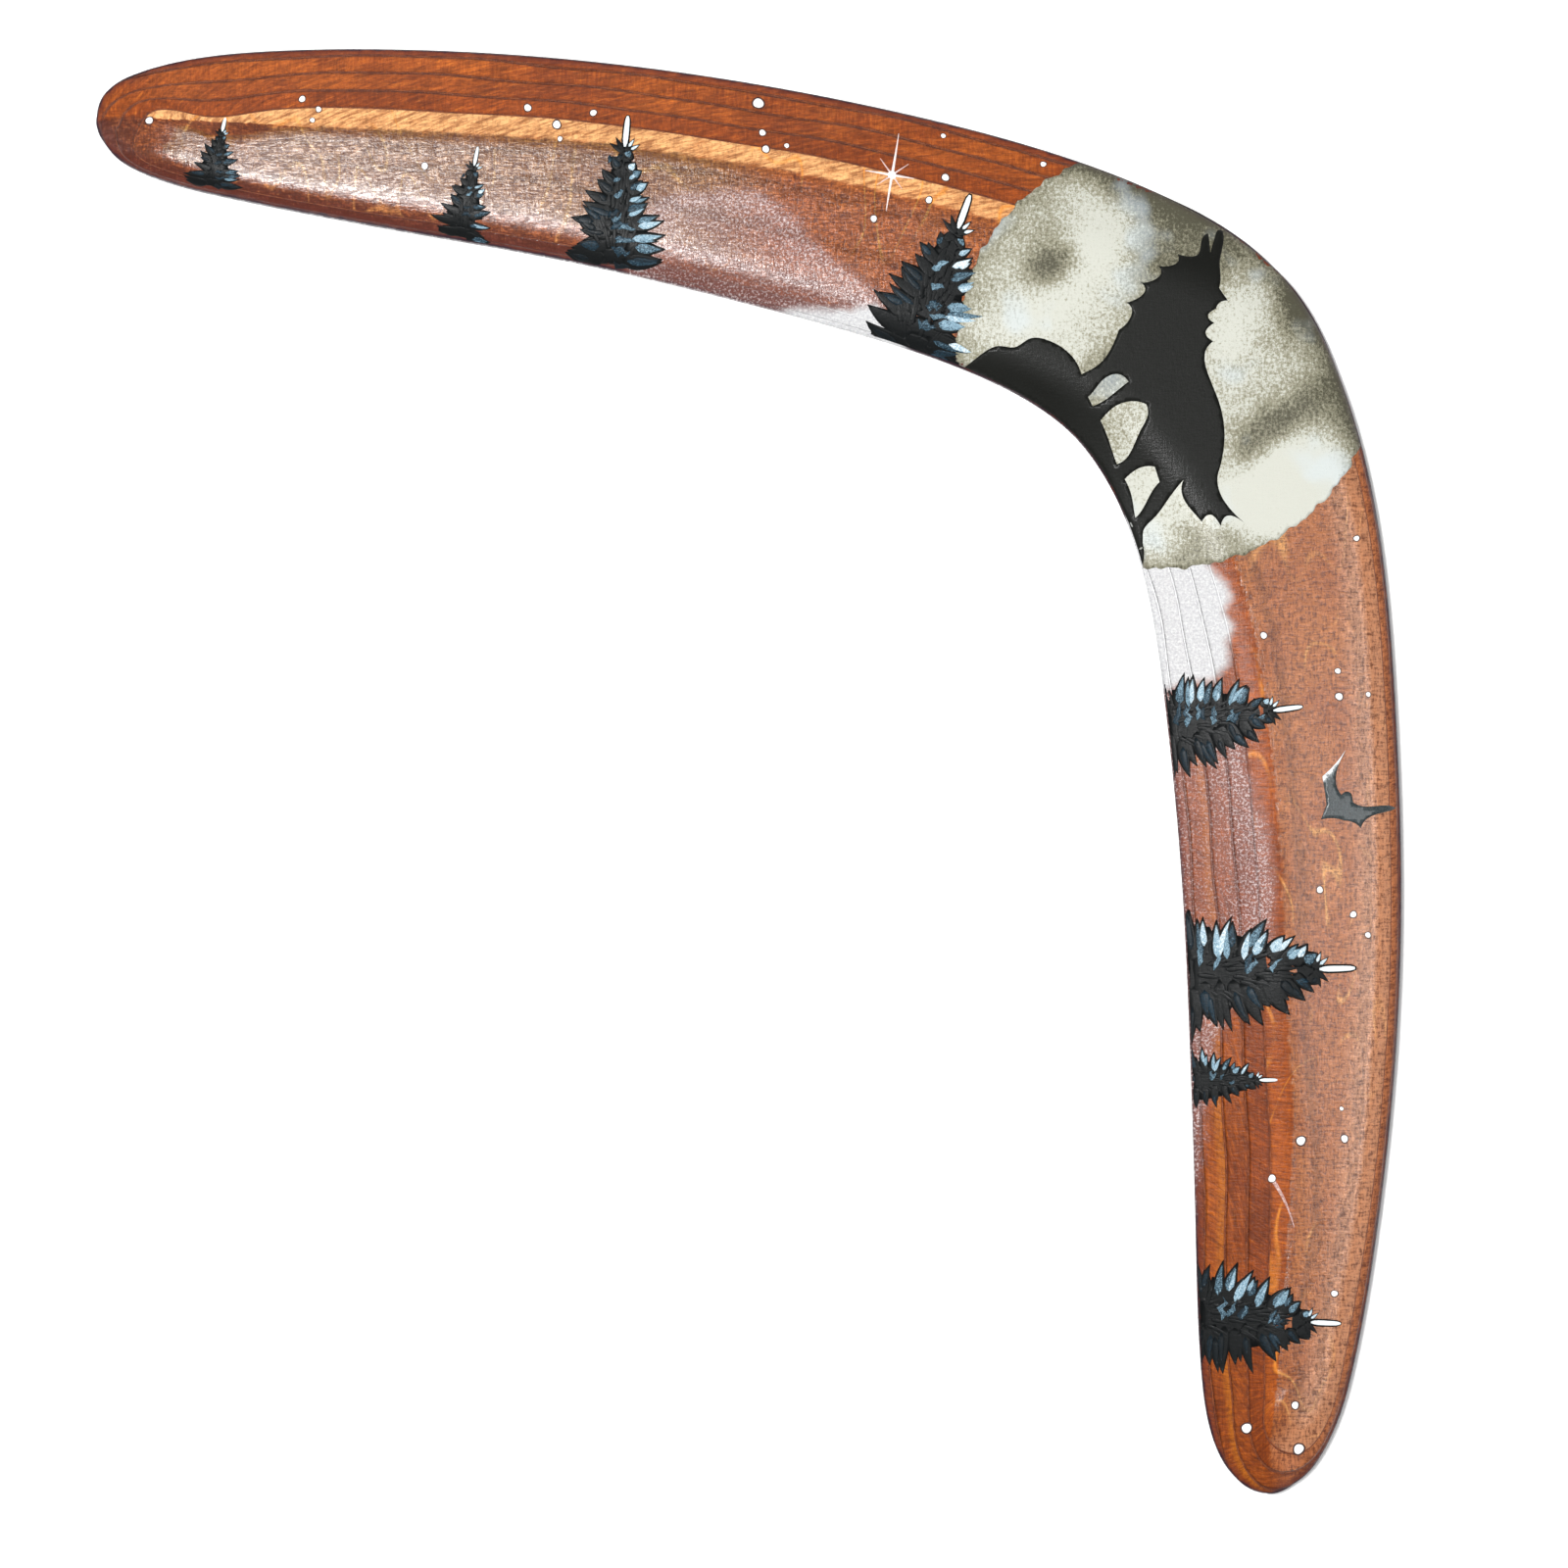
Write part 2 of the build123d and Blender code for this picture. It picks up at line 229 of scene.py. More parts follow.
def even_odd(points, loops):
    """Which points lie inside a set of closed loops."""
    inside = np.zeros(len(points), bool)
    for loop in loops:
        a, b = np.array(loop), np.roll(np.array(loop), -1, axis=0)
        for start in range(0, len(points), 4000):
            x, y = points[start: start + 4000, 0:1], points[start: start + 4000, 1:2]
            crosses = (a[:, 1] > y) != (b[:, 1] > y)
            rise = np.where(b[:, 1] == a[:, 1], 1e-12, b[:, 1] - a[:, 1])
            left = x < (b[:, 0] - a[:, 0]) * (y - a[:, 1]) / rise + a[:, 0]
            inside[start: start + 4000] ^= ((crosses & left).sum(1) % 2).astype(bool)
    return inside


def gap_inside(points, loop):
    """Distance from each point to a closed loop, positive inside it."""
    a, b = np.array(loop), np.roll(np.array(loop), -1, axis=0)
    edge = b - a
    best = np.full(len(points), 1e9)
    for k in range(len(a)):
        t = np.clip(((points - a[k]) @ edge[k]) / (edge[k] @ edge[k]), 0, 1)
        best = np.minimum(best, lengths(points - a[k] - t[:, None] * edge[k]))
    return np.where(even_odd(points, [loop]), best, -best)


# ---- what the finish follows: distance from the rim, run along it, side, and the sprayed mist ----
left_cloud = [
    (-30, 128), (-25, 135), (-21, 138.2), (-15, 140), (-9, 139), (-4, 140.2), (3, 139.2), (8, 135.8),
    (13, 132), (15.5, 127.5), (20, 124), (26, 119.5), (31, 114), (36, 100), (-32, 108),
]
left_bank = [(4, 108), (10, 111.5), (20, 110.5), (30, 112), (38, 106), (38, 96), (4, 100)]
right_cloud = [
    (84, 62), (96, 60), (108, 56), (110.5, 50), (114.5, 45), (115.8, 41), (114.4, 38), (116.8, 34),
    (114.6, 30.5), (115.6, 25), (111, 21), (104, 20.5), (96, 17), (80, 20),
]
right_drift = [
    (92, 22), (112, 20), (119, 8), (120, 0), (123, -8), (125.5, -17), (126.5, -31), (125, -41),
    (119, -52), (113, -66), (110, -88), (107.5, -112), (96, -116),
]


def finish_facts(plan, along=None):
    """Per-vertex numbers for the materials, at plan points in millimetres."""
    found = [rim_tree.find((*spot, 0)) for spot in plan]
    near = [hit[1] for hit in found]
    return {
        "rim_gap": np.array([hit[2] for hit in found]),
        "along": rim_along[near] if along is None else along,
        "lead": rim_lead[near],
        "arm": blend_over_elbow(plan[:, 0], plan[:, 1]),
        "cloud": np.maximum(gap_inside(plan, left_cloud), gap_inside(plan, right_drift)),
        "bank": np.maximum(gap_inside(plan, left_bank), gap_inside(plan, right_cloud)),
    }


def placed(name, data):
    """A mesh, light or camera put in the scene as an object."""
    made = bpy.data.objects.new(name, data)
    scene.collection.objects.link(made)
    return made


def make_object(name, points, faces, facts, flat_from=None):
    """A mesh object from points in millimetres."""
    mesh = bpy.data.meshes.new(name)
    mesh.from_pydata([tuple(p * MM) for p in points], [], faces)
    smooth_flags = np.ones(len(mesh.polygons), bool)
    if flat_from is not None:
        smooth_flags[flat_from:] = False
    mesh.polygons.foreach_set("use_smooth", smooth_flags)
    for key, values in facts.items():
        mesh.attributes.new(key, "FLOAT", "POINT").data.foreach_set("value", np.asarray(values, np.float32))
    mesh.validate()
    mesh.update()
    return placed(name, mesh)


def sides_of(loop, longest=1e9):
    """The sides of a closed loop, long ones cut into shorter ones."""
    made = []
    for a, b in zip(np.array(loop), np.roll(np.array(loop), -1, axis=0)):
        made += cut_side(a, b, longest)
    return made


def cut_side(a, b, longest):
    count = max(1, int(np.ceil(np.linalg.norm(b - a) / longest)))
    spots = [a + (b - a) * k / count for k in range(count + 1)]
    return list(zip(spots[:-1], spots[1:]))


def triangulate(sides, grid, keep):
    """Triangles between some plan sides, over a regular grid of points, where keep(centres) says so."""
    corners, numbers, edges = [], {}, []
    for side in sides:
        edge = []
        for spot in side:
            key = (round(spot[0] * 1e4), round(spot[1] * 1e4))
            if key not in numbers:
                numbers[key] = len(corners)
                corners.append(tuple(spot))
            edge.append(numbers[key])
        if edge[0] != edge[1]:
            edges.append(tuple(edge))
    low, high = np.min(corners, axis=0), np.max(corners, axis=0)
    xs, ys = np.arange(low[0] + grid / 2, high[0], grid), np.arange(low[1] + grid / 2, high[1], grid)
    cells = np.array([(x + (row % 2) * grid / 2, y) for row, y in enumerate(ys) for x in xs])
    tree = plan_tree(corners)
    inside = keep(cells)
    fill = [tuple(c) for c, ok in zip(cells, inside) if ok and tree.find((*c, 0))[2] > 0.45 * grid]
    spots = [Vector(p) for p in corners + fill]
    made = geometry.delaunay_2d_cdt(spots, edges, [], 0, 1e-5, False)
    plan = np.array([tuple(v) for v in made[0]])
    faces = np.array(made[2])
    centres = plan[faces].mean(1)
    faces = faces[keep(centres)]
    side = np.cross(plan[faces[:, 1]] - plan[faces[:, 0]], plan[faces[:, 2]] - plan[faces[:, 0]])
    faces[side < 0] = faces[side < 0][:, ::-1]
    used = np.unique(faces)
    place = np.full(len(plan), -1)
    place[used] = np.arange(len(used))
    return plan[used], place[faces]


def walls(rows, heights):
    """Points of some contours at their heights, and the faces between them."""
    n = len(rim)
    points = np.vstack([np.column_stack([row, np.full(n, z)]) for row, z in zip(rows, heights)])
    faces = []
    for level in range(len(rows) - 1):
        for k in range(n):
            a, b = level * n + k, level * n + (k + 1) % n
            # the rim runs clockwise from above, so this order faces outwards
            faces.append((a, a + n, b + n, b))
    return points, faces


def slab(name, low, high, levels):
    """One veneer or glue film of the worked board, closed top and bottom."""
    heights = [low] + [z for z in levels if low + 1e-6 < z < high - 1e-6] + [high]
    rows = [contour(max(z, slope_foot)) for z in heights]
    if low == 0:
        # the lower edge of the back face is eased inwards
        heights = [0.0, 0.05, 0.16, 0.34] + heights[1:]
        eased = [0.3, 0.16, 0.05, 0.0]
        inward = contour(4.5) - rim
        inward /= lengths(inward)[:, None]
        rows = [rim + inward * e for e in eased] + rows[1:]
    n = len(rim)
    points, faces = walls(rows, heights)
    runs = np.tile(rim_along, len(rows))
    flat_from = len(faces)
    for level, z, seen in ((0, low, low == 0), (len(rows) - 1, high, high > thickness - 1e-6)):
        ring = rows[level]
        if not seen:
            cap = range(level * n, level * n + n)
            faces.append(tuple(cap if level == 0 else reversed(cap)))
            continue
        plan, cells = triangulate(sides_of(ring), cap_grid, lambda c, ring=ring: even_odd(c, [ring]))
        ring_tree = plan_tree(ring)
        place = []
        extra = []
        for x, y in plan:
            _, near, gap = ring_tree.find((x, y, 0))
            if gap < 1e-3:
                place.append(level * n + near)
            else:
                place.append(len(points) + len(extra))
                extra.append((x, y, z))
        for cell in cells:
            corner = tuple(place[k] for k in cell)
            if len(set(corner)) == 3:
                faces.append(corner if level else corner[::-1])
        points = np.vstack([points, extra])
        runs = np.concatenate([runs, np.zeros(len(extra))])
    return make_object(name, points, faces, finish_facts(points[:, :2], runs), flat_from)


veneer_thickness = (thickness - (veneer_count - 1) * glue_thickness) / veneer_count
low_levels = [slope_foot + 0.22 * k for k in range(1, 27)]
round_levels = [thickness - 1.3 * (1 - k / 22) ** 2 for k in range(23)]
levels = [z for z in low_levels if z < 5.2] + [z for z in round_levels if z >= 5.2]

veneers, glue_lines = [], []
for number in range(1, veneer_count + 1):
    low = (number - 1) * (veneer_thickness + glue_thickness)
    high = low + veneer_thickness
    veneers.append(slab(f"veneer_{number}_worked", low, high, levels))
    if number < veneer_count:
        glue_lines.append(slab(f"glue_line_{number}_worked", high, high + glue_thickness, []))

# ---- height of the worked top at any plan spot ----
top_heights = [slope_foot] + levels + [thickness]
top_rows = [contour(z) for z in top_heights]
top_points, top_faces = walls(top_rows, top_heights)
top_tree = bvhtree.BVHTree.FromPolygons([tuple(p) for p in top_points], top_faces)
flat_ring = top_rows[-1]
down = Vector((0, 0, -1))


def top_at(plan):
    """Height of the worked top under plan points."""
    heights = np.full(len(plan), thickness)
    on_slope = ~even_odd(plan, [flat_ring])
    for k in np.nonzero(on_slope)[0]:
        hit = top_tree.ray_cast(Vector((*plan[k], 20)), down)
        if hit[0] is None:
            hit = top_tree.find_nearest(Vector((*plan[k], 3.3)))
        heights[k] = hit[0].z
    return heights


paint_margin = 0.3
toward_middle = (knot_target - rim_knots) / knot_room[:, None]
paint_ring = loop_through(rim_knots + toward_middle * paint_margin, counts)


def kept_on_board(plan):
    """Plan points, with any that would miss the paintable top brought back to its border."""
    plan = np.array(plan, float)
    outside = ~even_odd(plan, [paint_ring])
    for k in np.nonzero(outside)[0]:
        near = rim_tree.find((*plan[k], 0))[1]
        plan[k] = paint_ring[near]
    return plan


# ---- paint films ----
film_grid = 0.9
film_height = 0.07
film_edge = 0.02
bite = 0.02
stroke_bite = 0.03
layer_step = 0.0004


def cad_motif(node):
    """The border sides of a painted CAD node seen from above, and a test of which points it covers."""
    mesh = nodes[node].data
    corners = np.array([tuple(v.co / MM) for v in mesh.vertices])
    upper = [tuple(face.vertices) for face in mesh.polygons if face.normal.z > 0.3]
    sides = {}
    for face in upper:
        for a, b in zip(face, face[1:] + face[:1]):
            ends = tuple(tuple(np.round(corners[k][:2] * 200).astype(int)) for k in (a, b))
            sides[ends] = (corners[a][:2], corners[b][:2])
    border = [side for ends, side in sides.items() if ends[::-1] not in sides and ends[0] != ends[1]]
    flat = [(x, y, 0.0) for x, y, _ in corners]
    tree = bvhtree.BVHTree.FromPolygons(flat, upper)

    def covers(plan):
        return np.array([tree.ray_cast(Vector((x, y, 9)), down)[0] is not None for x, y in plan])

    return [piece for side in border for piece in cut_side(*side, 0.7)], covers


def film(name, sides, keep, facts_of):
    """A closed coat of paint over the worked top, thin at its border."""
    plan, faces = triangulate(sides, film_grid, keep)
    edges = dict.fromkeys(edge for a, b, c in faces for edge in ((a, b), (b, c), (c, a)))
    border = [(a, b) for a, b in edges if (b, a) not in edges]
    rim_spots = np.zeros(len(plan), bool)
    rim_spots[[a for a, _ in border]] = True
    ground = top_at(plan)
    lift = np.where(rim_spots, film_edge, film_height)
    n = len(plan)
    points = np.vstack([np.column_stack([plan, ground + lift]), np.column_stack([plan, ground - bite])])
    solid = [tuple(f) for f in faces] + [tuple(f[::-1] + n) for f in faces]
    solid += [(b, a, a + n, b + n) for a, b in border]
    facts = facts_of(plan)
    return make_object(name, points, solid, {k: np.tile(v, 2) for k, v in facts.items()})


class Strokes:
    """Brush strokes gathered into one closed-shelled mesh."""

    def __init__(self):
        self.points, self.faces, self.pale, self.across = [], [], [], []
        self.layer = 0.0

    def add(self, path, widths, pale, lift=0.03, dome=0.05):
        """One stroke along plan points, with half widths; pale is 0 for dark paint and 1 for light."""
        path = np.array(path, float)
        widths = np.array(widths, float)
        self.layer += layer_step
        run = np.gradient(path, axis=0)
        run /= np.maximum(lengths(run), 1e-9)[:, None]
        side = np.column_stack([-run[:, 1], run[:, 0]])
        shares = np.array([-1, -0.6, 0, 0.6, 1])
        plan = (path[:, None] + side[:, None] * widths[:, None, None] * shares[None, :, None]).reshape(-1, 2)
        plan = kept_on_board(plan)
        ground = top_at(plan)
        crown = np.tile(1 - shares**2, len(path)) * np.repeat(widths / widths.max(), 5)
        top = np.column_stack([plan, ground + lift * 0.4 + self.layer + (lift * 0.6 + dome) * crown])
        under = np.column_stack([plan, ground - stroke_bite])
        start = len(self.points)
        m = len(top)
        self.points += list(top) + list(under)
        self.pale += [pale] * (2 * m)
        self.across += list(np.tile(shares, len(path))) * 2
        for k in range(len(path) - 1):
            for c in range(4):
                a = start + k * 5 + c
                self.faces.append((a, a + 5, a + 6, a + 1))
                self.faces.append((a + m, a + m + 1, a + m + 6, a + m + 5))
            for c, way in ((0, 1), (4, -1)):
                a = start + k * 5 + c
                self.faces.append((a, a + m, a + m + 5, a + 5)[::way])
        for k, way in ((0, -1), (len(path) - 1, 1)):
            ring = [start + k * 5 + c for c in range(5)]
            cap = ring + [i + m for i in reversed(ring)]
            self.faces.append(tuple(cap[::way]))

    def build(self, name):
        facts = {"pale": self.pale, "across": self.across}
        return make_object(name, np.array(self.points), self.faces, facts)


def pointing(angle):
    return np.array([math.cos(angle), math.sin(angle)])


def bent(start, heading, length, bend, count=9):
    """Plan points of a stroke that leaves in one heading and turns by bend along the way."""
    spots = [np.array(start, float)]
    for k in range(count - 1):
        angle = heading + bend * k / (count - 1)
        spots.append(spots[-1] + length / (count - 1) * pointing(angle))
    return spots


def leaf(count, half_width, blunt=0.25):
    t = np.linspace(0, 1, count)
    belly = np.sin(np.pi * t**0.62) ** 0.8 * (1 - 0.1 * t)
    return half_width * np.maximum(belly, 0.04 + blunt * (t < 0.5) * 0.3)


# each pine: foot, leader tip, spread of the lowest boughs, tiers, how strong its light dabs are, taper
pines = [
    ((-128.5, 140.0), (-125.3, 156.0), 12.5, 6, 0.7, 0.72),
    ((-69.0, 128.0), (-64.8, 149.0), 14.0, 6, 0.8, 0.72),
    ((-32.0, 121.5), (-29.0, 157.0), 23.0, 9, 0.8, 0.72),
    ((39.5, 100.5), (53.0, 138.0), 28.0, 9, 0.85, 0.62),
    ((100.3, 11.0), (132.4, 15.3), 24.0, 8, 0.8, 0.5),
    ((105.5, -48.3), (145.2, -47.2), 30.0, 9, 0.8, 0.5),
    ((106.9, -74.4), (126.2, -74.0), 14.0, 6, 0.8, 0.5),
    ((108.4, -130.6), (141.6, -132.2), 27.0, 9, 0.75, 0.5),
]


def paint_pine(number, foot, tip, spread, tiers, light, taper):
    rand = random.Random(40 + number)
    strokes = Strokes()
    foot, tip = np.array(foot), np.array(tip)
    height = np.linalg.norm(tip - foot)
    up = (tip - foot) / height
    up_angle = math.atan2(up[1], up[0])
    turn = 1 if up[0] > up[1] else -1  # the light comes from +X and +Y
    lit = turn * np.array([-up[1], up[0]])
    t = np.linspace(0, 1, 12)
    core = [foot + up * height * 0.80 * s for s in t]
    trunk = np.maximum((1 - t) ** (taper + 0.03), 0.05) * np.minimum(1, 0.75 + 3 * t)
    strokes.add(core, spread * 0.36 * trunk, 0.0, 0.02, 0.02)
    for share in (0.05, 0.15, 0.26):
        reach = spread * 0.42 * (1 - share)
        middle_spot = foot + up * height * share
        swept = np.linspace(-1, 1, 12)
        path = [middle_spot + lit * reach * s - up * height * 0.03 * abs(s) for s in swept]
        strokes.add(path, height * 0.055 * np.maximum(1 - swept**2, 0.05) ** 0.5, 0.0, 0.02, 0.02)
    dabs = []
    rows = tiers + 1
    for row in range(rows):
        share = row / rows
        reach = spread / 2 * (1 - share) ** taper
        for side in (-1, 1):
            for _ in range(2 if row < rows - 2 else 1):
                at = height * (0.03 + 0.74 * share + rand.uniform(-0.02, 0.02))
                start = foot + up * at + lit * side * reach * rand.uniform(0.12, 0.3)
                fan = math.radians(100 - 62 * share**1.2 + rand.uniform(-10, 10))
                heading = up_angle + turn * side * fan
                length = reach * rand.uniform(0.66, 1.04)
                bend = -turn * side * math.radians(rand.uniform(8, 32))
                half = max(0.65, height * 0.05 * rand.uniform(0.75, 1.2))
                path = bent(start, heading, length, bend)
                strokes.add(path, leaf(9, half, 0.6), 0.0)
                dabs.append((path, half, side, share))
    for _ in range(5 * tiers):
        share = rand.uniform(0.02, 0.7)
        side = rand.uniform(-1, 1)
        start = foot + up * height * (0.02 + 0.76 * share) + lit * side * spread * 0.22 * (1 - share)
        heading = up_angle - turn * side * 0.4 + turn * side * math.radians(70) * (1 - share)
        needle = bent(start, heading, height * 0.13, 0.3 * side)
        strokes.add(needle, leaf(9, height * 0.016), 0.02, 0.05, 0.03)
    for path, half, side, share in dabs:
        strong = light if side > 0 else light * 0.25
        if side < 0 and rand.random() < 0.55:
            continue
        first = rand.choice((1, 2, 3))
        tone = strong * rand.uniform(0.3, 0.95) * (0.4 if share == 0 else 1)
        dab = leaf(len(path) - 1 - first, half * rand.uniform(0.34, 0.6))
        strokes.add(path[first:-1], dab, tone, 0.09, 0.05)
        if side > 0 and rand.random() < 0.6:
            inner = [p - lit * half * 2.2 - up * half * rand.uniform(0.2, 1.0) for p in path[1:-3]]
            strokes.add(inner, leaf(len(inner), half * 0.4), tone * 0.6, 0.09, 0.05)
    top = foot + up * height * 0.76
    slim = np.array([0.35, 0.8, 1, 1, 1, 0.95, 0.9, 0.8, 0.35])
    leader = bent(top, up_angle, height * 0.24, 0.0)
    strokes.add(leader, slim * max(0.65, height * 0.028), 0.0)
    tip_light = bent(top + up * 0.6, up_angle, height * 0.215, 0.0)
    strokes.add(tip_light, slim * max(0.42, height * 0.018), 1.15, 0.1, 0.09)
    for side, swing in ((1, 34), (-1, 38), (1, 62), (-1, 66)):
        heading = up_angle + turn * side * math.radians(swing)
        path = bent(top - up * height * 0.02, heading, height * 0.12, 0.15 * side)
        strokes.add(path, leaf(9, max(0.42, height * 0.02)), 0.0)
        if side > 0:
            strokes.add(path[3:-1], leaf(5, max(0.25, height * 0.011)), light, 0.1, 0.06)
    return strokes.build(f"pine_{number}_brushwork")


pine_objects = [paint_pine(k, *pine) for k, pine in enumerate(pines, start=1)]

moon_centre, moon_radius = np.array([100.2, 99.5]), 51.0
turns = np.linspace(0, 2 * np.pi, 480, endpoint=False)
sponge_edge = moon_radius + 0.25 * np.sin(turns * 41) + 0.2 * np.sin(turns * 67 + 1)
sponge_edge += 0.15 * np.sin(turns * 113)
moon_loop = moon_centre + np.column_stack([np.cos(turns), np.sin(turns)]) * sponge_edge[:, None]

# soft dark and light areas on the disc: plan place, sizes along and across, heading, strength
moon_areas = [
    ((72, 121), 7, 5, 40, 0.85), ((66, 108), 9, 9, 0, -0.25), ((75, 112), 9, 12, 0, -0.3),
    ((84, 126), 7, 10, 0, -0.6), ((92, 141), 30, 5, -28, 0.75), ((104, 122), 13, 15, 70, 0.55),
    ((86, 96), 14, 5, 40, 0.5), ((118, 108), 8, 14, -30, -0.65), ((134, 112), 20, 7, -52, 0.75),
    ((128, 84), 17, 5, 35, 0.72), ((120, 74), 5, 6, 0, 0.45), ((131, 69), 15, 11, 0, -1.2),
    ((118, 62), 12, 8, 0, -0.5), ((112, 56), 9, 6, 10, 0.4), ((146, 92), 12, 5, -70, 0.7),
    ((148, 84), 8, 16, -60, 0.5), ((128, 110), 6, 18, -50, 0.35), ((60, 92), 7, 5, 20, 0.35),
    ((95, 66), 8, 12, 0, -0.35), ((140, 60), 9, 4, 40, 0.25),
]


def moon_facts(plan):
    shade = np.full(len(plan), 0.47)
    for (x, y), long, wide, heading, strength in moon_areas:
        angle = math.radians(heading)
        a = (plan[:, 0] - x) * math.cos(angle) + (plan[:, 1] - y) * math.sin(angle)
        b = -(plan[:, 0] - x) * math.sin(angle) + (plan[:, 1] - y) * math.cos(angle)
        shade += strength * np.exp(-((a / long) ** 2 + (b / wide) ** 2))
    disc_gap = moon_radius - lengths(plan - moon_centre)
    shade += 0.3 * np.exp(-disc_gap / 3.0)
    return {"shade": shade, "rim_gap": finish_facts(plan)["rim_gap"]}


moon = film("moon_disc_paint", sides_of(moon_loop) + sides_of(paint_ring, 0.7),
            lambda c: even_odd(c, [moon_loop]) & even_odd(c, [paint_ring]), moon_facts)


def stroke_facts(plan, pale=0.0):
    return {"pale": pale + np.zeros(len(plan)), "across": np.zeros(len(plan))}


wolf = film("wolf_and_ridge_film", *cad_motif("wolf_and_ridge_paint"), stroke_facts)
wolf_raise = 0.08
for vertex in wolf.data.vertices:
    vertex.co.z += wolf_raise * MM


def bird_facts(plan):
    """Dark, with a light stroke along the raised wing."""
    way = np.array([-5.4, -6.3]) / math.hypot(5.4, 6.3)
    beside = (plan[:, 0] - 143.1) * way[1] - (plan[:, 1] - 4.9) * way[0]
    return stroke_facts(plan, 0.2 + 0.9 * np.exp(-((beside / 0.7) ** 2)))


bird = film("bird_film", *cad_motif("bird_paint"), bird_facts)


# ---- small light dabs: stars, the starburst and the falling star ----
def islands(node):
    """Centre and radius, in plan, of each separate dot of a CAD node."""
    mesh = nodes[node].data
    parent = list(range(len(mesh.vertices)))
    seen = {}

    def root(k):
        while parent[k] != k:
            parent[k] = parent[parent[k]]
            k = parent[k]
        return k

    for k, v in enumerate(mesh.vertices):
        first = seen.setdefault(tuple(round(c * 1e6) for c in v.co), k)
        parent[root(k)] = root(first)
    for edge in mesh.edges:
        parent[root(edge.vertices[0])] = root(edge.vertices[1])
    groups = {}
    for k, v in enumerate(mesh.vertices):
        groups.setdefault(root(k), []).append((v.co.x / MM, v.co.y / MM))
    found = []
    for spots in groups.values():
        low, high = np.min(spots, axis=0), np.max(spots, axis=0)
        found.append(((low + high) / 2, float((high - low).max() / 2)))
    return found


def dot(strokes, centre, radius, pale, lift, dome):
    """A round dab: rings of points, domed, with a skirt into the ground."""
    start = len(strokes.points)
    rings = [(1.0, 0.0), (0.93, 0.45), (0.72, 0.75), (0.38, 0.95)]
    around = 22
    plan, rise = [], []
    for share, up in rings:
        for k in range(around):
            angle = 2 * math.pi * k / around
            wobble = 1 + 0.06 * math.sin(2 * angle + centre[0]) + 0.04 * math.sin(3 * angle + centre[1])
            plan.append(centre + radius * share * wobble * pointing(angle))
            rise.append(lift + dome * up)
    plan.append(centre)
    rise.append(lift + dome)
    plan = kept_on_board(plan)
    ground = top_at(plan)
    skirt = np.column_stack([plan[:around], ground[:around] - stroke_bite])
    strokes.points += list(np.column_stack([plan, ground + np.array(rise)])) + list(skirt)
    total = len(plan) + around
    strokes.pale += [pale] * total
    strokes.across += [0.0] * total
    last = start + len(rings) * around
    for k in range(around):
        ahead = (k + 1) % around
        for ring in range(len(rings) - 1):
            a = start + ring * around
            strokes.faces.append((a + k, a + ahead, a + around + ahead, a + around + k))
        a = start + (len(rings) - 1) * around
        strokes.faces.append((a + k, a + ahead, last))
        low = last + 1
        strokes.faces.append((low + k, low + ahead, start + ahead, start + k))
    strokes.faces.append(tuple(last + 1 + k for k in reversed(range(around))))


star_strokes = Strokes()
for centre, radius in islands("star_dots_paint"):
    dot(star_strokes, centre, radius * 1.22, 0.0, 0.01, 0.012)
    dot(star_strokes, centre, radius * 0.92, 1.3, 0.04, 0.14)
stars = star_strokes.build("star_dots_dabs")

burst = Strokes()
burst_centre = np.array([34.2, 142.5])
for k, ray in enumerate([10.8, 5.2, 6.8, 4.6, 9.2, 4.4, 5.6, 5.0]):
    heading = math.radians(80 + 45 * k)
    path = bent(burst_centre, heading, ray * 0.97, 0.03 * (-1) ** k, 10)
    widths = np.linspace(1, 0.12, 10) ** 0.8 * (0.36 if ray > 5.5 else 0.26)
    burst.add(path, widths, 0.72 if ray > 5.5 else 0.55, 0.02, 0.03)
dot(burst, burst_centre, 1.0, 1.3, 0.05, 0.14)
starburst = burst.build("starburst_strokes")

streak = Strokes()
comet_head, comet_tail = np.array([125.1, -97.6]), np.array([130.3, -109.2])
tail = [comet_head + (comet_tail - comet_head) * s + np.array([0.5, 0.2]) * math.sin(3.1 * s)
        for s in np.linspace(0, 1, 12)]
streak.add(tail, np.linspace(0.5, 0.1, 12), 0.4, 0.01, 0.02)
dot(streak, comet_head, 1.05, 0.0, 0.03, 0.01)
dot(streak, comet_head, 0.85, 1.3, 0.05, 0.13)
comet = streak.build("comet_strokes")


# ---- materials ----
def srgb(r, g, b):
    """Linear colour of a paint swatch given as 0 to 255."""
    shares = [c / 255 for c in (r, g, b)]
    return tuple(((c + 0.055) / 1.055) ** 2.4 if c > 0.0405 else c / 12.92 for c in shares) + (1.0,)


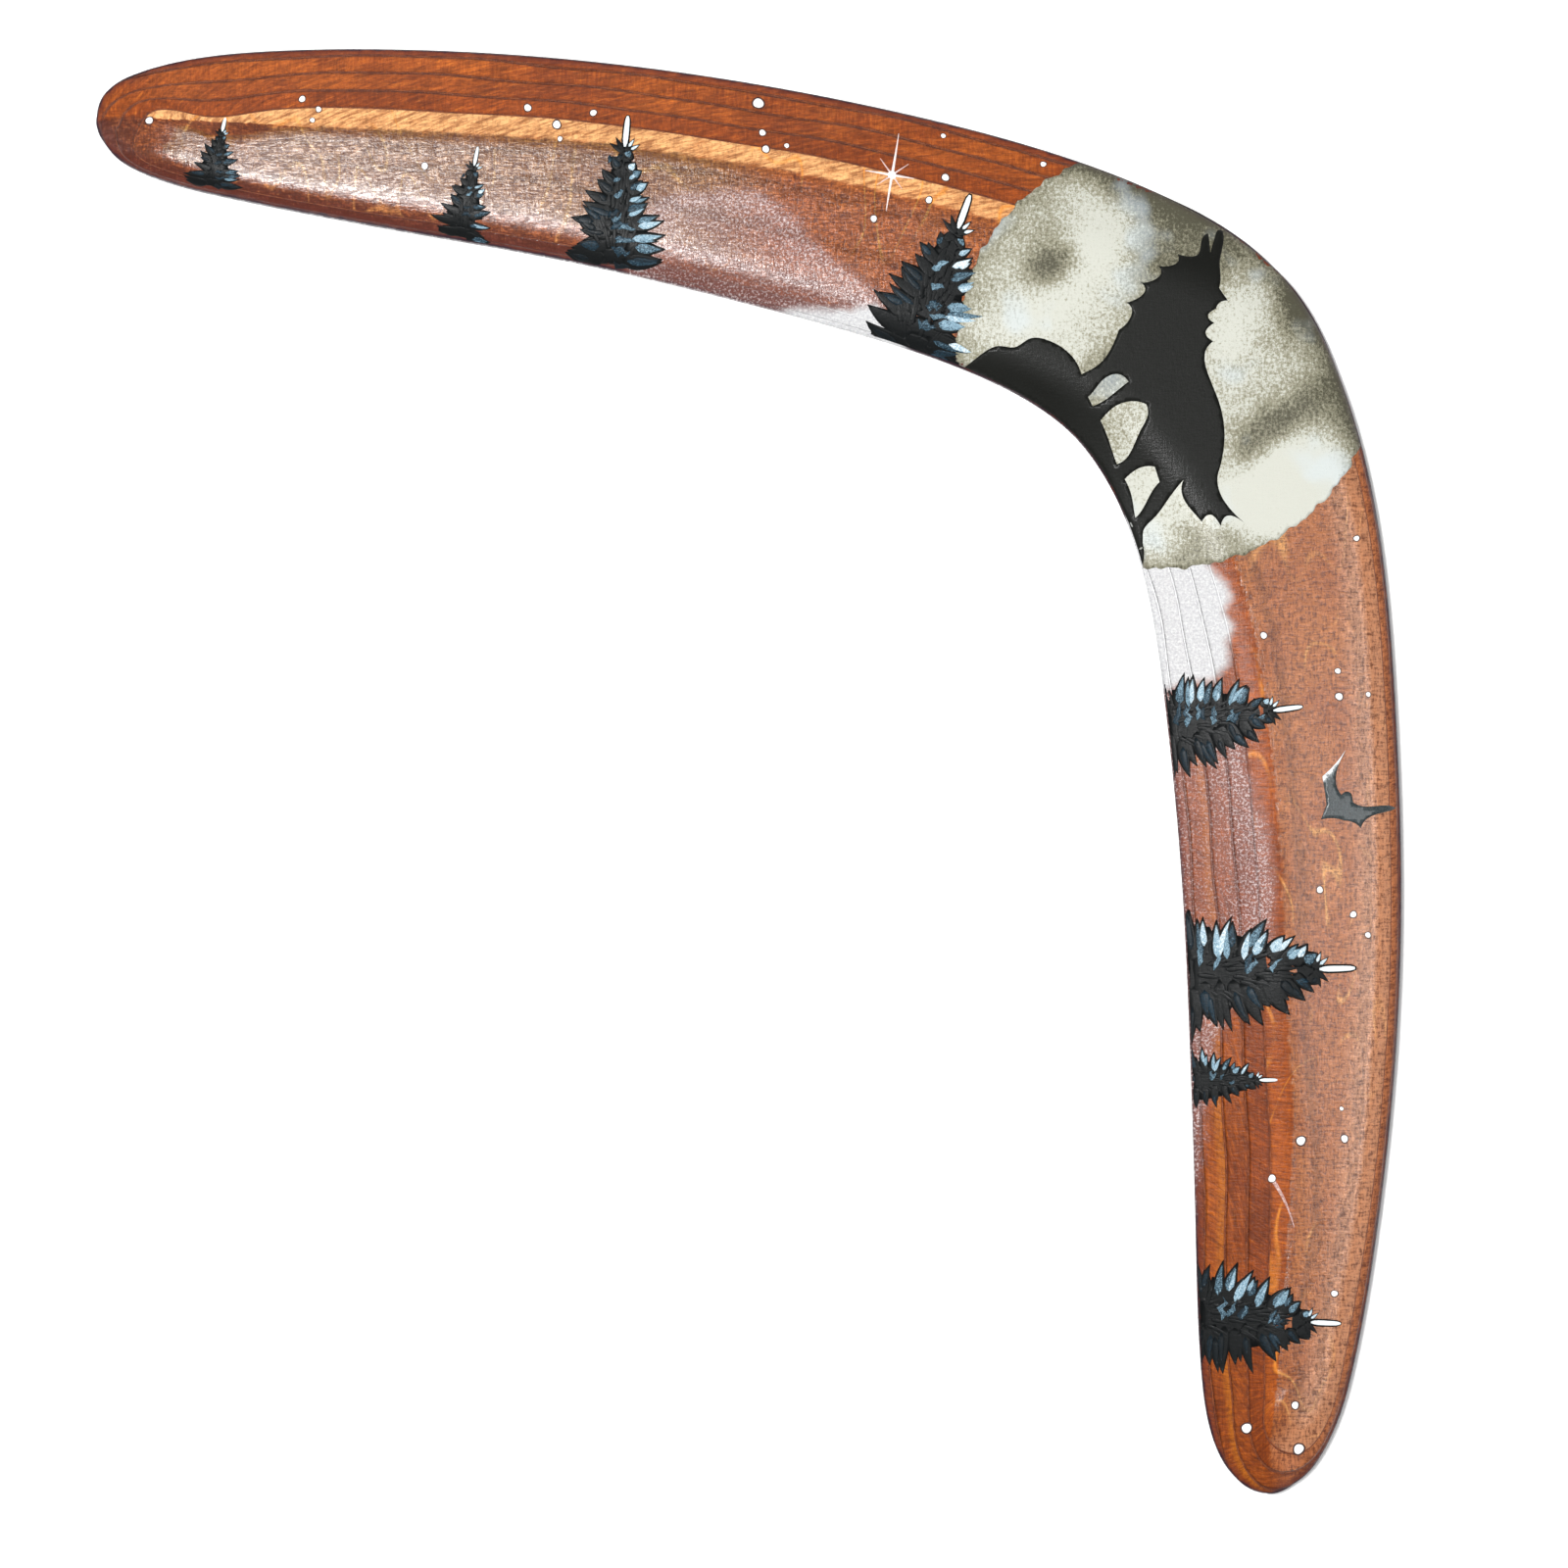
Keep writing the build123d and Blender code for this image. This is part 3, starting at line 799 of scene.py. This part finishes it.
class Finish:
    """A small builder of node materials."""

    def __init__(self, name):
        self.material = bpy.data.materials.new(name)
        self.material.use_nodes = True
        self.tree = self.material.node_tree
        self.tree.nodes.clear()
        coords = self.node("TexCoord", {})
        self.place = self.brighten(coords.outputs["Object"], 1 / MM)
        self.x, self.y, self.z = self.node("SeparateXYZ", {0: self.place}).outputs

    def node(self, kind, sockets, **settings):
        """A new node, with its settings made and then its input sockets set or linked."""
        made = self.tree.nodes.new("ShaderNode" + kind)
        for key, value in settings.items():
            setattr(made, key, value)
        for key, value in sockets.items():
            if isinstance(value, bpy.types.NodeSocket):
                self.tree.links.new(value, made.inputs[key])
            else:
                made.inputs[key].default_value = value
        return made

    def math(self, operation, a, b=0.0):
        return self.node("Math", {0: a, 1: b}, operation=operation).outputs[0]

    def times(self, a, *others):
        for b in others:
            a = self.math("MULTIPLY", a, b)
        return a

    def plus(self, a, b):
        return self.math("ADD", a, b)

    def minus(self, a, b):
        return self.math("SUBTRACT", a, b)

    def most(self, a, b):
        return self.math("MAXIMUM", a, b)

    def size(self, a):
        return self.math("ABSOLUTE", a)

    def swing(self, value, reach):
        """A noise, which averages a half, made to swing about zero."""
        return self.times(self.minus(value, 0.5), reach)

    def fact(self, name):
        return self.node("Attribute", {}, attribute_name=name).outputs["Fac"]

    def noise(self, x, y, z=0.0, detail=2.0, rough=0.5, twist=0.0):
        spot = self.node("CombineXYZ", {0: x, 1: y, 2: z}).outputs[0]
        sockets = {"Vector": spot, "Scale": 1.0, "Detail": detail, "Roughness": rough, "Distortion": twist}
        return self.node("TexNoise", sockets).outputs["Fac"]

    def grain(self, x_share, y_share, z=0.0, detail=2.0, rough=0.5, twist=0.0):
        """Noise over the plan, with its own cells per millimetre along x and y."""
        return self.noise(self.times(self.x, x_share), self.times(self.y, y_share), z, detail, rough, twist)

    def step(self, value, low, high, out_low=0.0, out_high=1.0, soft=True):
        sockets = dict(enumerate((value, low, high, out_low, out_high)))
        blend = "SMOOTHSTEP" if soft else "LINEAR"
        return self.node("MapRange", sockets, interpolation_type=blend).outputs[0]

    def mix(self, share, a, b):
        return self.node("Mix", {"Factor": share, "A": a, "B": b}, data_type="RGBA").outputs["Result"]

    def glaze(self, colour, where, strength, tint):
        """A tint laid over a colour."""
        return self.mix(self.times(where, strength), colour, tint)

    def brighten(self, colour, gain):
        """A colour times a number."""
        return self.node("VectorMath", {0: colour, "Scale": gain}, operation="SCALE").outputs[0]

    def tinted(self, colour, gains):
        """A colour times another."""
        return self.node("VectorMath", {0: colour, 1: gains}, operation="MULTIPLY").outputs[0]

    def bump(self, height, depth):
        return self.node("Bump", {"Height": height, "Distance": depth * MM}).outputs[0]

    def done(self, colour, roughness, normal, coat, coat_roughness, coat_normal):
        shader = self.node("BsdfPrincipled", {
            "Base Color": colour, "Roughness": roughness, "Normal": normal, "Specular IOR Level": 0.12,
            "Coat Weight": coat, "Coat Roughness": coat_roughness, "Coat Normal": coat_normal,
        })
        self.node("OutputMaterial", {"Surface": shader.outputs[0]})
        return self.material


def canvas(f):
    """Height of the fine crossed brush and grain marks that the lacquer shows."""
    across = f.grain(0.42, 1.7, 1.0, 3.0, 0.65)
    along = f.grain(1.7, 0.42, 9.0, 3.0, 0.65)
    fine = f.grain(3.0, 3.0, 4.0, 2.0, 0.6)
    return f.plus(f.plus(across, along), f.times(fine, 0.4))


def crackle(f, arm):
    """Short dark cracks in the lacquered figure: lying along the left arm, finer on the right."""
    lying = f.grain(0.3, 0.9, 21.0, 1.5, 0.5, 1.0)
    standing = f.grain(0.8, 0.35, 27.0, 1.5, 0.5, 1.0)
    lying = f.step(f.size(f.minus(lying, 0.5)), 0.12, 0.03)
    standing = f.step(f.size(f.minus(standing, 0.5)), 0.08, 0.02)
    left = f.most(lying, f.times(standing, 0.7))
    right = f.most(f.times(standing, 0.75), f.times(lying, 0.6))
    return f.plus(f.times(left, f.minus(1.0, arm)), f.times(right, f.times(arm, 0.75)))


def sprayed(f, colour, cover=0.5):
    """A wood or glue colour with the sprayed mist over it, and how thick the white bank lies."""
    ragged = f.grain(0.22, 0.22, 3.0, 4.0, 0.6)
    grain = f.grain(1.6, 1.6, 2.0, 3.0, 0.8)
    cloud = f.plus(f.fact("cloud"), f.swing(ragged, 5.0))
    above = f.step(f.z, 0.05, 0.4)
    density = f.times(f.step(cloud, -1.2, 3.0), above)
    fading = f.step(cloud, 0.0, 16.0, 1.0, 0.55)
    veil = f.times(density, fading)
    specks = f.step(f.plus(grain, f.times(veil, 0.1)), 0.59, 0.68)
    body = f.glaze(colour, veil, cover, srgb(122, 86, 82))
    misty = f.glaze(body, specks, f.times(veil, 0.72), srgb(206, 190, 188))
    bank = f.plus(f.fact("bank"), f.swing(ragged, 2.5))
    thick = f.times(f.step(bank, -1.0, 2.2), above)
    white = f.mix(f.step(grain, 0.35, 0.7), srgb(176, 176, 179), srgb(210, 211, 210))
    return f.glaze(misty, thick, 0.97, white), thick


def rim_stain_and_shade(f, colour):
    """The stain gathered at the very edge in maroon, and a dark purple line right at the rim that is painted
    shade where the rounded edge turns from the light.
    """
    gap = f.fact("rim_gap")
    near = f.plus(gap, f.swing(f.grain(0.35, 0.35, 8.0, 3.0), 1.2))
    maroon = f.mix(f.step(near, 0.2, 2.4, 0.75, 0.0), colour, srgb(84, 34, 26))
    # the dark purple line at the rim is painted shade
    return f.mix(f.step(near, 0.15, 0.75, 0.92, 0.0), maroon, srgb(36, 20, 34))


def wood(number, dark, light, angle, grain_along_x):
    """Stained birch veneer: slanted sanding marks on the slopes, grain, pores and gloss lacquer, with painted
    shade at the edges and painted sheen on the face veneer.
    """
    f = Finish(f"stained_birch_{number}")
    gap, along = f.fact("rim_gap"), f.fact("along")
    above, arm = f.step(f.z, 0.05, 0.4), f.fact("arm")
    lead = f.times(f.fact("lead"), above)
    a, shallow = math.radians(angle), math.radians(-14 - 2 * number)
    sine, cosine = (f.step(arm, 0.2, 0.8, of(shallow), of(a), soft=False) for of in (math.sin, math.cos))
    across_marks = f.minus(f.times(along, sine), f.times(gap, cosine))
    down_marks = f.plus(f.times(along, cosine), f.times(gap, sine))
    marks = f.noise(f.times(across_marks, 1.15), f.times(down_marks, 0.16), number * 7.0, 4.0, 0.7, 0.4)
    way = 1 if grain_along_x else -1
    fibre = f.grain(*(0.12, 1.6)[::way], number * 3.0, 5.0, 0.62, 0.3)
    pores = f.grain(*(0.7, 5.0)[::way], number * 5.0, 2.0, 0.5)
    cloudy = f.grain(0.035, 0.035, number * 2.0, 3.0, 0.6)
    tone = f.plus(f.times(fibre, 0.5), f.times(cloudy, 0.6))
    colour = f.mix(f.step(tone, 0.38, 0.72), srgb(*dark), srgb(*light))
    slope = f.step(f.z, thickness - 0.02, thickness - 0.25) if number == veneer_count else above
    gain = f.step(marks, 0.3, 0.7, 0.5, 1.6, soft=False)
    gain = f.plus(f.times(f.minus(gain, 1.0), slope), 1.0)
    colour = f.brighten(colour, gain)
    golden = f.times(f.step(marks, 0.58, 0.78), slope)
    colour = f.glaze(colour, golden, 0.5, srgb(206, 132, 66))
    colour = f.mix(f.step(pores, 0.56, 0.76, 0.0, 0.45), colour, srgb(70, 30, 16))
    bottom, top = (corner.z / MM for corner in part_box(f"veneer_{number}"))
    level = f.step(f.z, bottom, top, soft=False)
    seam = f.most(f.step(level, 0.12, 0.0), f.step(level, 0.86, 1.0))
    if number == veneer_count:
        seam = f.step(level, 0.14, 0.0)
    colour = f.glaze(colour, seam, 0.25, srgb(74, 30, 18))
    if number == 2:
        strip = f.times(f.step(level, 0.45, 0.85), f.step(arm, 0.4, 0.8))
        colour = f.glaze(colour, strip, f.step(marks, 0.3, 0.6, 0.25, 0.8), srgb(174, 106, 46))
    if number == 4:
        strip = f.times(lead, f.step(arm, 0.4, 0.8))
        colour = f.glaze(colour, strip, f.step(marks, 0.35, 0.6, 0.3, 0.85), srgb(196, 116, 84))
    # the left arm's steep leading bevel is darkened to maroon here: painted shade on the rounded face turned
    # from the light
    bevel_shade = f.times(lead, f.step(gap, 4.6, 3.0), f.step(arm, 0.6, 0.2))
    colour = f.glaze(colour, bevel_shade, 0.75, srgb(92, 34, 28))
    if number == veneer_count:
        # a pale pinkish band on the left arm's trailing slope of the face veneer: painted sheen of the
        # lacquer
        sheen_band = f.times(slope, f.step(arm, 0.5, 0.1), f.step(lead, 0.4, 0.1))
        sheen_band = f.times(sheen_band, f.step(marks, 0.36, 0.62, 0.25, 1.0))
        colour = f.glaze(colour, sheen_band, 0.75, srgb(240, 198, 200))
        colour = top_face(f, colour, gap, lead, arm)
    flat = flat_share(f) if number == veneer_count else 0.0
    # tints of the stain by arm and edge; the less saturated, on the right arm paler gain on the flat of the
    # face veneer is painted sheen of the lacquer
    tints_and_flat_sheen = f.mix(f.step(arm, 0.0, 1.0), (1.2, 1.04, 0.42, 1), (0.95, 0.78, 0.2, 1))
    tints_and_flat_sheen = f.mix(lead, tints_and_flat_sheen, f.mix(arm, (0.8, 0.76, 0.6, 1), (0.9, 0.94, 0.62, 1)))
    tints_and_flat_sheen = f.mix(flat, tints_and_flat_sheen, f.mix(arm, (0.74, 0.95, 0.5, 1), (0.98, 1.14, 0.86, 1)))
    colour = f.tinted(colour, tints_and_flat_sheen)
    texture = canvas(f)
    glared = f.most(flat, f.times(lead, f.minus(1.0, arm)))
    cracks = f.times(crackle(f, arm), f.plus(f.times(glared, 0.55), 0.25))
    woven = f.plus(f.times(f.most(flat, lead), 0.5), 0.5)
    colour = f.glaze(colour, woven, f.step(texture, 1.3, 0.95, 0.0, 0.8), srgb(72, 26, 10))
    colour = f.glaze(colour, woven, f.step(texture, 1.3, 1.6, 0.0, 0.4), srgb(212, 138, 84))
    colour = f.glaze(colour, cracks, 0.75, srgb(64, 28, 16))
    colour, thick = sprayed(f, rim_stain_and_shade(f, colour))
    surface = f.bump(f.plus(f.times(texture, 0.6), f.plus(f.times(marks, 0.6), f.times(fibre, 0.4))), 0.3)
    gloss = f.bump(texture, 0.045)
    rough = f.step(texture, 0.9, 1.6, 0.42, 0.55)
    pitted = f.most(f.times(cracks, 0.9), f.times(f.step(texture, 1.12, 0.9), 0.5))
    gloss_share = f.times(f.most(flat, lead), 0.92)
    gloss_share = f.most(gloss_share, f.step(arm, 0.2, 0.8, 0.42, 0.12))
    coat = f.times(gloss_share, f.step(pitted, 0.0, 1.0, 1.0, 0.2))
    coat = f.times(coat, f.step(thick, 0.0, 1.0, 1.0, 0.3))
    return f.done(colour, rough, surface, coat, f.step(cloudy, 0.3, 0.7, 0.15, 0.22), gloss)


def flat_share(f):
    """1 on the flat of the top, with a ragged border along the slopes."""
    ragged = f.grain(0.16, 0.5, 51.0, 4.0, 0.7)
    height = f.plus(f.z, f.swing(ragged, 0.4))
    return f.step(height, thickness - 0.22, thickness - 0.09)


def top_face(f, colour, gap, lead, arm):
    """The flat of the face veneer: paler, with drying cracks, a few loops of growth figure and a painted
    highlight along the right arm's leading shoulder.
    """
    flat = flat_share(f)
    dry = f.grain(0.05, 0.05, 17.0, 4.0, 0.6)
    pale = f.mix(f.step(dry, 0.35, 0.65), srgb(150, 84, 50), srgb(172, 104, 64))
    colour = f.glaze(colour, flat, 0.7, pale)
    glow = f.step(f.grain(0.02, 0.02, 5.0, 2.0), 0.5, 0.66)
    glow = f.most(f.times(glow, 0.7), f.step(f.x, -14.0, 12.0))
    glow = f.times(glow, f.step(arm, 0.0, 1.0, 0.42, 0.1))
    colour = f.glaze(colour, flat, glow, srgb(232, 92, 20))
    lines = f.grain(0.045, 0.02, 31.0, 1.0, 0.5, 0.6)
    rings = f.size(f.minus(f.math("FRACT", f.times(lines, 8.0)), 0.5))
    patch = f.step(f.grain(0.04, 0.04, 77.0), 0.46, 0.58)
    figure = f.times(f.step(rings, 0.09, 0.0), patch)
    colour = f.glaze(colour, figure, 0.75, srgb(224, 150, 92))
    crack_x = f.grain(2.6, 0.11, 12.0, 2.0, 0.5)
    cracks = f.times(f.step(crack_x, 0.69, 0.73), f.step(arm, 0.5, 0.9))
    colour = f.glaze(colour, f.times(cracks, flat), 0.7, srgb(82, 50, 44))
    # a pale tan band along the right arm's leading shoulder: painted highlight
    shoulder_highlight = f.times(lead, arm, f.step(gap, 14.0, 7.5))
    return f.glaze(colour, shoulder_highlight, 0.58, srgb(218, 152, 136))


def glue():
    f = Finish("pressed_glue")
    uneven = f.noise(f.times(f.fact("along"), 0.4), f.times(f.fact("rim_gap"), 0.4), 2.0, 3.0)
    colour = f.mix(f.step(uneven, 0.35, 0.7), srgb(108, 50, 24), srgb(148, 76, 36))
    colour, thick = sprayed(f, rim_stain_and_shade(f, colour), 0.85)
    texture = canvas(f)
    colour = f.mix(thick, colour, srgb(232, 232, 233))
    coat = f.step(thick, 0.0, 1.0, 0.42, 0.15)
    return f.done(colour, 0.5, f.bump(texture, 0.3), coat, 0.17, f.bump(texture, 0.04))


def moon_coat():
    """Sponged off-white with grey-olive shade."""
    f = Finish("sponged_moon_paint")
    shade = f.fact("shade")
    drift = f.grain(0.09, 0.09, 1.0, 4.0, 0.6, 0.5)
    sponge = f.grain(1.3, 1.3, 6.0, 5.0, 0.85)
    strokes = f.grain(1.5, 0.35, 3.0, 3.0, 0.7)
    base = f.plus(shade, f.swing(drift, 0.7))
    base = f.plus(base, f.swing(strokes, 0.9))
    value = f.plus(base, f.swing(sponge, 2.9))
    tone = f.step(value, 0.2, 1.2, soft=False)
    pale = f.mix(f.step(tone, 0.0, 0.45), srgb(187, 188, 178), srgb(136, 133, 113))
    colour = f.mix(f.step(tone, 0.4, 1.0), pale, srgb(74, 72, 58))
    cool = f.times(f.step(f.grain(0.06, 0.06, 44.0, 2.0), 0.55, 0.7), 0.35)
    colour = f.mix(cool, colour, srgb(190, 204, 214))
    edge = f.step(f.fact("rim_gap"), 2.2, 0.2)
    colour = f.glaze(colour, edge, 0.55, srgb(70, 62, 56))
    texture = canvas(f)
    rough = f.step(sponge, 0.3, 0.7, 0.5, 0.62)
    return f.done(colour, rough, f.bump(f.plus(texture, sponge), 0.1), 0.28, 0.2, f.bump(texture, 0.04))


def brushed(name, dark, deep, pale_cool, pale_white, gloss=0.55):
    """Brush paint whose tone follows the stroke: dark body, blue middle, near-white lights."""
    f = Finish(name)
    pale, across = f.fact("pale"), f.fact("across")
    bristle = f.noise(f.times(f.x, 2.4), f.times(f.y, 2.4), f.times(across, 2.0), 4.0, 0.7, 1.0)
    uneven = f.times(f.swing(bristle, 1.5), f.step(pale, 0.0, 0.3, 0.12, 1.0))
    value = f.plus(pale, uneven)
    colour = f.mix(f.step(value, 0.02, 0.3), srgb(*dark), srgb(*deep))
    colour = f.mix(f.step(value, 0.28, 0.62), colour, srgb(*pale_cool))
    colour = f.mix(f.step(value, 0.6, 0.95), colour, srgb(*pale_white))
    texture = canvas(f)
    surface = f.bump(f.plus(texture, f.times(bristle, 0.8)), 0.05)
    return f.done(colour, f.step(bristle, 0.3, 0.7, 0.42, 0.6), surface, gloss, 0.17, f.bump(texture, 0.04))


def complete(piece, material, node):
    """Give a piece its material and its body, and hide the CAD node that it stands for."""
    piece.data.materials.append(material)
    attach(piece, "root")
    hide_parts(node)


# for each veneer: dark and light tone, heading of the sanding marks, and whether its grain runs along x
wood_looks = [
    ((108, 50, 30), (146, 74, 40), 40, True),
    ((116, 54, 28), (156, 84, 42), 58, False),
    ((112, 52, 26), (150, 80, 42), 12, True),
    ((104, 48, 24), (138, 68, 32), 62, False),
    ((124, 60, 26), (160, 84, 38), 86, True),
]
for number, (piece, look) in enumerate(zip(veneers, wood_looks), start=1):
    complete(piece, wood(number, *look), f"veneer_{number}")

glue_material = glue()
for number, piece in enumerate(glue_lines, start=1):
    complete(piece, glue_material, f"glue_line_{number}")

pine_material = brushed("pine_brush_paint", (8, 11, 12), (28, 50, 63), (126, 158, 175), (226, 234, 236), 0.04)
black_material = brushed("black_brush_paint", (15, 16, 13), (40, 42, 38), (90, 92, 88), (150, 150, 148), 0.08)
grey_material = brushed("grey_brush_paint", (30, 36, 38), (58, 66, 68), (104, 110, 112), (226, 228, 228))
white_material = brushed("white_brush_paint", (58, 30, 26), (150, 96, 84), (214, 190, 184), (244, 243, 240))

painted = [(moon, moon_coat(), "moon_paint", "moon_paint"),
           (wolf, black_material, "black_paint", "wolf_and_ridge_paint"),
           (bird, grey_material, "grey_paint", "bird_paint"),
           (stars, white_material, "white_paint", "star_dots_paint"),
           (starburst, white_material, "white_paint", "starburst_paint"),
           (comet, white_material, "white_paint", "comet_paint")]
painted += [(piece, pine_material, "pine_paint", f"pine_paint_{k}")
            for k, piece in enumerate(pine_objects, start=1)]
for piece, material, slot, node in painted:
    complete(piece, material, node)

# ---- floor, light and camera ----
floor_mesh = bpy.data.meshes.new("floor")
floor_mesh.from_pydata([(-3, -3, 0), (3, -3, 0), (3, 3, 0), (-3, 3, 0)], [], [(0, 1, 2, 3)])
floor = placed("floor", floor_mesh)
paper = bpy.data.materials.new("pale_paper")
paper.use_nodes = True
paper_shader = paper.node_tree.nodes["Principled BSDF"].inputs
paper_shader["Base Color"].default_value = (0.93, 0.93, 0.93, 1)
paper_shader["Roughness"].default_value = 0.9
paper_shader["Specular IOR Level"].default_value = 0.1
floor_mesh.materials.append(paper)

world = bpy.data.worlds.new("studio")
scene.world = world
world.use_nodes = True
sky = world.node_tree.nodes["Background"].inputs
sky["Color"].default_value = (1, 1, 1, 1)
sky["Strength"].default_value = 0.3


def panel(name, place, target, size, watts):
    """A rectangular soft light facing a target."""
    data = bpy.data.lights.new(name, "AREA")
    data.shape = "RECTANGLE"
    data.size, data.size_y = size
    data.energy = watts
    light = placed(name, data)
    light.location = place
    light.rotation_euler = (Vector(target) - Vector(place)).to_track_quat("-Z", "Y").to_euler()


# two boxes whose light the lacquer mirrors to the camera, and four low ones round the table
panel("box_right", (0.35, -0.07, 1.0), (0.35, -0.07, 0), (0.28, 0.36), 1.9)
panel("box_left", (-0.25, 0.2, 1.0), (-0.25, 0.2, 0), (0.28, 0.3), 4.2)
panel("box_left_core", (-0.2, 0.065, 0.98), (-0.12, 0.095, 0), (0.26, 0.18), 8.4)
for place in ((1.5, -0.3, 1.2), (-1.5, 0.2, 1.2), (0.2, -1.5, 1.2), (-0.2, 1.5, 1.2)):
    panel("side", place, (0, 0, 0), (1.1, 0.7), 2.0)

middle = (cad_low + cad_high) / 2
camera_data = bpy.data.cameras.new("camera")
camera = placed("camera", camera_data)
camera_data.lens = 100
camera.location = (middle.x + 0.0085, middle.y - 0.0032, 1.0474)
scene.camera = camera
scene.view_settings.view_transform = "Standard"
